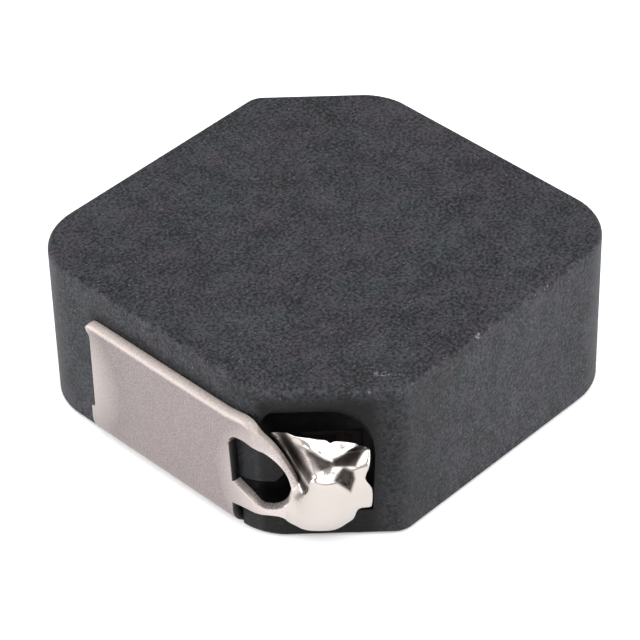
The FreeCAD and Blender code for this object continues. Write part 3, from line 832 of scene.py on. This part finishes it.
PLATE_RIGHT = 2.57
BLANK_FOOT = -1.321
BLANK_START = [(-3.25, BLANK_FOOT), (PLATE_RIGHT, BLANK_FOOT), (PLATE_RIGHT, 1.06)]
BLANK_CHIN = [
    (PLATE_RIGHT, 1.06), (2.96, 1.15), (3.4, 1.2), (4.0, 1.1), (4.3, 0.9), (4.63, 0.74), (5.15, 0.8),
]
BLANK_TONGUE = [(5.4, 0.95), (5.54, 1.2), (5.54, 1.8), (5.4, 1.98), (4.95, 2.0)]
BLANK_BROW = [
    (4.723, 2.03), (4.563, 2.4), (4.37, 2.87), (4.159, 3.332), (3.95, 3.7), (3.74, 3.99), (3.55, 4.24),
    (3.38, 4.42), (3.2, 4.49), (2.97, 4.5), (2.7, 4.45), (2.4, 4.41),
]
BLANK_TOP = [(1.6, 4.4), (0.9, 4.405), (0.2, 4.4), (-0.7, 4.4), (-1.6, 4.405), (-2.5, 4.4)]
BLANK_END = [
    (-2.95, 4.4), (-3.1, 4.39), (-3.2, 4.33), (-3.25, 4.24), (-3.24, 4.13), (-3.17, 4.03), (-3.115, 3.95),
    (-3.1, 3.85), (-3.1, 1.4), (-3.12, 1.28), (-3.25, 1.24), (-3.25, 0.8),
]
EYE_SHARP = [(2.6, 1.93), (2.52, 3.34)]
EYE_ROUND = [
    (2.52, 3.34), (2.56, 3.5), (2.74, 3.67), (3.11, 3.74), (3.36, 3.7), (3.613, 3.56), (3.85, 3.33),
    (4.053, 3.06), (4.2, 2.8), (4.3, 2.52), (4.363, 2.2), (4.36, 1.93), (4.29, 1.67), (4.16, 1.49),
    (3.96, 1.4), (3.72, 1.41), (3.5, 1.51), (3.25, 1.66), (2.95, 1.78), (2.7, 1.87), (2.6, 1.93),
]
# Where the eye's lower wall begins in its round line, and where the rolled edge ends at the plate's end.
EYE_UNDER = 11
ROLLED_END = 4
# Where along the sheet the turn round the core's corner starts, and the height above which edges are rolled.
TURN_START = 3.2715
ROLLED_ABOVE = 4.3
FOLD_STEPS = 8
TURN_STEPS = 6


def nearest(spots, line):
    """How far each spot is from a line of points."""
    least = np.full(len(spots), np.inf)
    for first, second in zip(np.array(line[:-1]), np.array(line[1:])):
        way = second - first
        share = np.clip((spots - first) @ way / max(way @ way, 1e-12), 0, 1)
        least = np.minimum(least, np.linalg.norm(spots - first - share[:, None] * way, axis=1))
    return least


def clipped(value, start, end):
    """From 0 to 1 as a value goes from start to end."""
    return np.clip((value - start) / (end - start), 0, 1)


def sheared_blank(settings):
    """The flat blank, its outer face at z = 0, with its eye and its rolled and rounded edges."""

    def metres(points):
        return [(Vector(point) * MM).to_tuple() for point in points]

    sheet = settings.sheet
    rim = (BLANK_START + smooth_loop(BLANK_CHIN, 4, closed=False)[1:] + BLANK_TONGUE
           + smooth_loop(BLANK_BROW, 3, closed=False) + BLANK_TOP + BLANK_END)
    blank = outline("terminal_front_sheet", metres(rim), -sheet, 0.0)
    eye = EYE_SHARP[:1] + smooth_loop(EYE_ROUND, 4, closed=False)[:-1]
    cut(blank, outline("eye", metres(eye), -2 * sheet, sheet))
    edit(blank)
    pick(blank, lambda edge: all(abs(vertex.co.z) < CLOSE and vertex.co.y > ROLLED_ABOVE * MM
                                 for vertex in edge.verts))
    bpy.ops.mesh.bevel(offset=settings.rollover, segments=4)
    modify(blank, "BEVEL", width=settings.burr, segments=2, limit_method="ANGLE",
           angle_limit=math.radians(60), use_clamp_overlap=False)
    return blank


def painted_edge_light_and_shade(settings, spots):
    """Painted light and shade: 1, a painted highlight, on the band of the upper edge, less on the eye's lower
    wall, and -1, painted shade, on the sheared walls.
    """
    on_wall = 0.02
    upper = smooth_loop(BLANK_BROW, 3, closed=False) + BLANK_TOP + BLANK_END[:ROLLED_END]
    roll = settings.rollover / MM
    marks = clipped(nearest(spots, upper), roll, roll - 0.1)
    marks = np.where(nearest(spots, EYE_ROUND[EYE_UNDER:]) < on_wall, 0.4, marks)
    walls = np.minimum(nearest(spots, EYE_SHARP), nearest(spots, BLANK_START[1:]))
    return np.where(walls < on_wall, -1.0, marks)


def bent(way, out, radius, middle, most):
    """Where a spot of the sheet goes that lay some way past the start of a bend, and how far out."""
    turn = min(way / middle, most)
    rest, reach = way - turn * middle, radius + out
    return (reach * math.sin(turn) + rest * math.cos(turn),
            reach * math.cos(turn) - rest * math.sin(turn) - radius)


class Terminals(bpy.types.Operator):
    """Sheared sheet blanks with an eye, folded under as a foot and turned round the core's corner"""
    bl_idname = "inductor.terminals"
    bl_label = "Terminals"

    def execute(self, context):
        settings = context.scene.terminal
        fold, turn, turn_start = settings.fold, settings.turn, TURN_START * MM
        fold_mid, turn_mid = fold - settings.sheet / 2, turn - settings.sheet / 2
        fold_arc, turn_arc = fold_mid * math.pi / 2, turn_mid * math.pi / 4
        blank = sheared_blank(settings)
        edit(blank)
        planes = [((0, fold - fold_arc * step / FOLD_STEPS, 0), (0, 1, 0)) for step in range(FOLD_STEPS + 1)]
        planes += [((turn_start + turn_arc * step / TURN_STEPS, 0, 0), (1, 0, 0))
                   for step in range(TURN_STEPS + 1)]
        for spot, way in planes:
            bpy.ops.mesh.select_all(action="SELECT")
            bpy.ops.mesh.bisect(plane_co=spot, plane_no=way)
        clear()
        spots = np.array([tuple(vertex.co)[:2] for vertex in blank.data.vertices]) / MM
        painted(blank, "edge_light_and_shade", painted_edge_light_and_shade(settings, spots))
        for vertex in blank.data.vertices:
            along, up, out = vertex.co
            if up < fold:
                way, out = bent(fold - up, out, fold, fold_mid, math.pi / 2)
                up = fold - way
            if along > turn_start:
                way, out = bent(along - turn_start, out, turn, turn_mid, math.pi / 4)
                along = turn_start + way
            vertex.co = (SHEET_LOW.x - out, -along, up)
        look = tin_look(settings)
        rear = copied(blank, "terminal_rear_sheet", HALF_TURN)
        settle(blank, look, "tinned_sheet", "terminal_front")
        settle(rear, look, "tinned_sheet", "terminal_rear")
        return {"FINISHED"}


# Solder, seen square to its slope: millimetres along the chamfer and up, at the chamfer's own depth.

SOLDER_EDGE = [
    (-1.72, 4.02), (-1.24, 4.02), (-0.97, 3.87), (-0.45, 3.78), (-0.15, 3.73), (-0.03, 3.6), (0.09, 3.67),
    (0.45, 3.61), (0.8, 3.5), (1.0, 3.37), (1.07, 3.22), (1.05, 2.7), (0.94, 2.3), (0.94, 2.12),
    (1.1, 1.78), (1.1, 1.22), (1.03, 1.09), (0.72, 1.02), (0.58, 0.675), (0.38, 0.485), (0.06, 0.26),
    (-0.4, 0.22), (-0.79, 0.28), (-1.04, 0.44), (-1.316, 0.68), (-1.36, 0.95), (-1.28, 1.25), (-1.2, 1.62),
    (-1.1, 2.05), (-1.25, 2.6), (-1.5, 3.1), (-1.7, 3.6),
]
# Spots of its face, each with how far it stands out of the chamfer.
SOLDER_FORM = [
    (0.0, 3.74, 0.06), (0.0, 3.3, 0.32), (0.0, 2.93, 0.55), (0.0, 2.66, 0.78), (0.0, 2.4, 0.88),
    (0.0, 2.0, 1.04), (0.0, 1.5, 1.1), (0.0, 1.1, 1.08), (0.0, 0.8, 1.0), (0.0, 0.5, 0.84),
    (0.0, 0.26, 0.62), (0.27, 3.69, 0.06), (0.27, 3.4, 0.22), (0.27, 3.12, 0.39), (0.27, 2.72, 0.72),
    (0.27, 2.5, 0.85), (0.27, 2.0, 1.0), (0.62, 3.62, 0.08), (0.62, 3.44, 0.17), (0.62, 3.0, 0.55),
    (0.45, 3.32, 0.24), (0.45, 3.0, 0.51), (0.45, 2.68, 0.79), (0.62, 2.66, 0.8), (0.62, 2.45, 0.88),
    (0.58, 1.9, 1.0), (0.5, 1.3, 1.0), (0.45, 0.9, 0.9), (0.4, 0.6, 0.76), (0.98, 3.25, 0.42),
    (1.0, 2.95, 0.6), (0.98, 2.6, 0.77), (0.9, 2.3, 0.82), (0.85, 2.05, 0.88), (1.0, 1.6, 0.86),
    (1.0, 1.2, 0.8), (0.8, 1.05, 0.82), (-0.3, 3.8, 0.04), (-0.3, 3.14, 0.44), (-0.3, 2.8, 0.67),
    (-0.3, 2.5, 0.79), (-0.3, 2.2, 0.93), (-0.3, 1.85, 1.06), (-0.3, 1.3, 1.02), (-0.6, 3.85, 0.04),
    (-0.6, 3.41, 0.3), (-0.6, 3.0, 0.55), (-0.6, 2.57, 0.68), (-0.6, 2.1, 0.9), (-0.6, 1.7, 0.94),
    (-0.6, 1.3, 0.91), (-0.7, 0.75, 0.78), (-0.75, 0.4, 0.62), (-0.9, 3.88, 0.03), (-0.9, 3.4, 0.12),
    (-0.85, 3.0, 0.26), (-0.8, 2.6, 0.4), (-0.77, 2.2, 0.56), (-0.79, 1.85, 0.61), (-1.1, 3.83, 0.04),
    (-1.1, 3.4, -0.04), (-1.05, 2.8, 0.03), (-0.97, 2.4, 0.12), (-0.93, 2.1, 0.36), (-0.95, 1.85, 0.43),
    (-1.4, 3.6, -0.14), (-1.4, 3.95, -0.06), (-1.7, 3.9, -0.08), (-0.8, 1.6, 0.71), (-0.95, 1.55, 0.5),
    (-1.1, 1.6, 0.315), (-1.2, 1.75, 0.295), (-0.75, 1.2, 0.76), (-0.95, 1.1, 0.54), (-1.12, 1.2, 0.38),
    (-1.25, 1.2, 0.31), (-1.1, 0.7, 0.46), (-1.3, 0.75, 0.32), (-1.33, 1.0, 0.31),
]
# Corners of the hollow at the wire's end and of the band of painted dark reflection beside the fan,
# clockwise.
PIT = [(0.31, 2.594), (0.556, 2.426), (0.587, 2.172), (0.479, 1.75), (0.094, 2.13)]
BAND = [(0.0, 2.9), (0.42, 3.22), (0.9, 3.3), (0.68, 2.6), (0.0, 2.62)]
# Lower and upper edge of the fan, painted with dark reflections, and how dark it is across its streaks.
FAN_LOW = [
    (-1.7, 3.7), (-1.13, 2.55), (-0.92, 2.0), (-0.84, 1.66), (-0.75, 1.64), (-0.68, 1.9), (-0.62, 2.15),
    (-0.34, 2.4), (-0.1, 2.5), (0.0, 2.55),
]
FAN_HIGH = [
    (-1.7, 4.2), (-1.2, 4.2), (-1.05, 3.74), (-0.73, 3.46), (-0.43, 3.22), (-0.18, 3.01), (0.0, 2.92),
    (0.1, 2.88),
]
FAN_TONE = [
    (-1.3, 0.9), (-1.12, 1.0), (-1.04, 0.25), (-0.97, 0.8), (-0.85, 0.97), (-0.76, 0.85), (-0.67, 0.25),
    (-0.6, 0.45), (-0.52, 0.6), (-0.42, 0.95), (0.1, 0.95),
]
# The fan's streaks lean over by this slope, and their tones are given at this height.
STREAK_LEAN = 0.44
STREAK_LEVEL = 2.8
# What stands out of the chamfer by one is seen this much lower.
VIEW_SLOPE = 0.979
# The outline is drawn round this middle.
SOLDER_MIDDLE = (0.0, 2.0)
# The lump's back narrows to this place in the recess.
SOLDER_BACK = (-0.1, 2.4, -0.75)
BACK_POWER = 0.8
# How far the surface rolls in at its edge, by how much less on the lug and at the crest, and how suddenly.
EDGE_ROLL = 0.1
EDGE_CALM = 0.08
EDGE_POWER = 26
# How freely the surface may pass beside its points.
FORM_GIVE = 0.0015
# A faint seam runs up the lump.
SEAM_DEEP = 0.025
SEAM_WIDE = 0.04


def plate_height(spots, known, give):
    """The height at each spot of a thin springy plate that is bent through known points."""

    def bend(first, second):
        gap = np.linalg.norm(first[:, None, :] - second[None, :, :], axis=2)
        return np.where(gap > 1e-9, gap ** 2 * np.log(np.maximum(gap, 1e-9)), 0.0)

    def flat(places):
        return np.hstack([np.ones((len(places), 1)), places])

    places, count = known[:, :2], len(known)
    system = np.zeros((count + 3,) * 2)
    system[:count, :count] = bend(places, places) + give * np.eye(count)
    system[:count, count:] = flat(places)
    system[count:, :count] = flat(places).T
    weights = np.linalg.solve(system, np.append(known[:, 2], np.zeros(3)))
    return bend(spots, places) @ weights[:count] + flat(spots) @ weights[count:]


def inside(along, up, corners):
    """How far each spot is inside a shape whose corners go clockwise."""
    depth = np.full(len(along), np.inf)
    for (x0, y0), (x1, y1) in zip(corners, corners[1:] + corners[:1]):
        side = (x1 - x0) * (y0 - up) - (x0 - along) * (y1 - y0)
        depth = np.minimum(depth, side / math.hypot(x1 - x0, y1 - y0))
    return depth


def spread_ball(ball):
    """Lay a ball over the solder's outline: its points' places, how far out they are and which face front."""
    middle = np.array(SOLDER_MIDDLE)
    rim = np.array(smooth_loop(SOLDER_EDGE, 4)) - middle
    rim_turn = np.arctan2(rim[:, 1], rim[:, 0])
    order = np.argsort(rim_turn)
    turn = np.arctan2(ball[:, 1], ball[:, 0])
    reach = np.interp(turn, rim_turn[order], np.linalg.norm(rim, axis=1)[order], period=2 * math.pi)
    radius = np.hypot(ball[:, 0], ball[:, 1])
    front = ball[:, 2] >= -1e-9
    way = np.stack([np.cos(turn), np.sin(turn)], 1)
    return middle + way * (reach * np.where(front, radius, 1.0))[:, None], radius, front


def solder_skin(settings, spots, radius, front):
    """How far out each spot of the skin stands, how much painted dark reflection and shade it has, and how
    dull.
    """
    along, up = spots[:, 0], spots[:, 1]
    on_lug = clipped(along, -0.65, -1.15) * clipped(up, 2.3, 2.15)
    crest = clipped(up, 3.2, 3.4)
    roll = 1 - np.sqrt(np.maximum(1 - np.where(front, radius, 1.0) ** EDGE_POWER, 0.0))
    out = plate_height(spots, np.array(SOLDER_FORM), FORM_GIVE)
    out -= (EDGE_ROLL - EDGE_CALM * np.maximum(on_lug, crest)) * roll

    fan = (clipped(np.interp(along, *zip(*FAN_HIGH)) - up, 0, 0.1) * clipped(along, 0.08, -0.07)
           * clipped(up - np.interp(along, *zip(*FAN_LOW)), 0, 0.14))
    tone = np.interp(along + STREAK_LEAN * (up - STREAK_LEVEL), *zip(*FAN_TONE))
    out += settings.streak / MM * fan * (1 - 2 * tone)

    pit_depth = inside(along, up, PIT)
    hollow = clipped(pit_depth, 0, 0.14)
    out -= settings.pit / MM * hollow * hollow * (3 - 2 * hollow)
    out -= SEAM_DEEP * np.exp(-(along / SEAM_WIDE) ** 2) * clipped(up, 1.9, 1.6) * clipped(up, 0.5, 0.8)

    # Painted shade in and round the pit, painted dark reflections on the band and across the fan's streaks.
    pit = clipped(pit_depth, -0.08, 0)
    band = clipped(inside(along, up, BAND), -0.03, 0.07)
    reflection_and_shade = np.clip(np.maximum(0.94 * pit + fan * tone, 0.95 * band), 0, 1) * front
    dull = np.maximum.reduce([fan, band, pit, 0.6 * on_lug]) * front
    return out, reflection_and_shade, dull


class SolderJoints(bpy.types.Operator):
    """Lumps of solder that bind the wire's ends to the terminals' tongues"""
    bl_idname = "inductor.solder_joints"
    bl_label = "Solder joints"

    def execute(self, context):
        settings = context.scene.solder
        lump = start("cube", "solder_lump_front", size=2.0)
        edit(lump)
        bpy.ops.mesh.subdivide(number_cuts=settings.detail)
        bpy.ops.mesh.select_all(action="SELECT")
        bpy.ops.transform.tosphere(value=1.0)
        clear()
        ball = np.empty(len(lump.data.vertices) * 3)
        lump.data.vertices.foreach_get("co", ball)
        ball = ball.reshape(-1, 3)
        ball /= np.linalg.norm(ball, axis=1)[:, None]

        spots, radius, front = spread_ball(ball)
        out, reflection_and_shade, dull = solder_skin(settings, spots, radius, front)
        shape = np.column_stack([spots, out])
        shape[:, 1] += VIEW_SLOPE * out
        inward = np.where(front, 0.0, 1.0 - radius) ** BACK_POWER
        shape += inward[:, None] * (np.array(SOLDER_BACK) - shape)
        lump.data.vertices.foreach_set("co", (shape * MM).ravel())
        painted(lump, "reflection_and_shade", reflection_and_shade)
        painted(lump, "dull", dull)
        lump.data.update()
        move(lump, corner_frame())
        edit(lump)
        face_outwards()
        look = solder_look(settings)
        rear = copied(lump, "solder_lump_rear", HALF_TURN)
        settle(lump, look, "solder", "solder_joint_front", sharp=180.0)
        settle(rear, look, "solder", "solder_joint_rear", sharp=180.0)
        return {"FINISHED"}


# Stage. Each light: its name, its place, its width and height in metres, and the setting of its brightness.

LIGHTS = [("left_light", (-0.15, 0.13, 0.035), 0.16, 0.1, "key"),
          ("right_light", (0.13, -0.15, 0.035), 0.16, 0.1, "key"),
          ("top_light", (-0.06, -0.06, 0.22), 0.24, 0.24, "top"),
          ("front_card", (-0.19, -0.19, 0.17), 0.26, 0.2, "front")]


class Stage(bpy.types.Operator):
    """Pale floor, soft lights and the camera"""
    bl_idname = "inductor.stage"
    bl_label = "Stage"

    def execute(self, context):
        settings, scene = context.scene.stage, context.scene
        floor = start("grid", "floor", x_subdivisions=4, y_subdivisions=4, size=settings.floor)
        dress(floor, paper_look(settings))

        world = bpy.data.worlds.new("studio")
        world.use_nodes = True
        sky = world.node_tree.nodes["Background"].inputs
        sky["Color"].default_value = (1.0, 1.0, 1.0, 1.0)
        sky["Strength"].default_value = settings.sky
        scene.world = world
        scene.view_settings.view_transform = "Standard"

        for name, spot, wide, tall, bright in LIGHTS:
            lamp = bpy.data.lights.new(name, "AREA")
            lamp.shape = "RECTANGLE"
            lamp.size, lamp.size_y = wide, tall
            lamp.energy = getattr(settings, bright) * math.pi * wide * tall
            made = linked(name, lamp)
            made.location = spot
            made.rotation_euler = Vector(spot).to_track_quat("Z", "Y").to_euler()

        camera = bpy.data.cameras.new("camera")
        camera.sensor_fit, camera.sensor_width, camera.lens = "HORIZONTAL", 36.0, settings.lens
        camera.clip_start, camera.clip_end = 0.005, 5.0
        scene.camera = linked("camera", camera)
        turn = Euler((math.pi / 2 - settings.elevation, 0.0, settings.azimuth), "XYZ").to_matrix()
        scene.camera.matrix_world = (Matrix.Translation(settings.place)
                                     @ (turn @ Matrix.Rotation(settings.roll, 3, "Z")).to_4x4())
        return {"FINISHED"}


OPERATORS = (FerritePot, DrumCore, Winding, GapResin, WindowPlugs, Terminals, SolderJoints, Stage)


class InductorPanel(bpy.types.Panel):
    """The pieces in the order in which they are made"""
    bl_idname = "VIEW3D_PT_inductor"
    bl_label = "Inductor"
    bl_space_type = "VIEW_3D"
    bl_region_type = "UI"
    bl_category = "Inductor"

    def draw(self, context):
        for operator in OPERATORS:
            self.layout.operator(operator.bl_idname)


def register():
    for group_class in SETTINGS.values():
        bpy.utils.register_class(group_class)
    for name, group_class in SETTINGS.items():
        setattr(bpy.types.Scene, name, PointerProperty(type=group_class))
    for made in (*OPERATORS, InductorPanel):
        bpy.utils.register_class(made)


def unregister():
    for made in reversed((*OPERATORS, InductorPanel)):
        bpy.utils.unregister_class(made)
    for name, group_class in SETTINGS.items():
        delattr(bpy.types.Scene, name)
        bpy.utils.unregister_class(group_class)


def main():
    register()
    for operator in OPERATORS:
        family, piece = operator.bl_idname.split(".")
        getattr(getattr(bpy.ops, family), piece)()


if __name__ == "__main__":
    main()
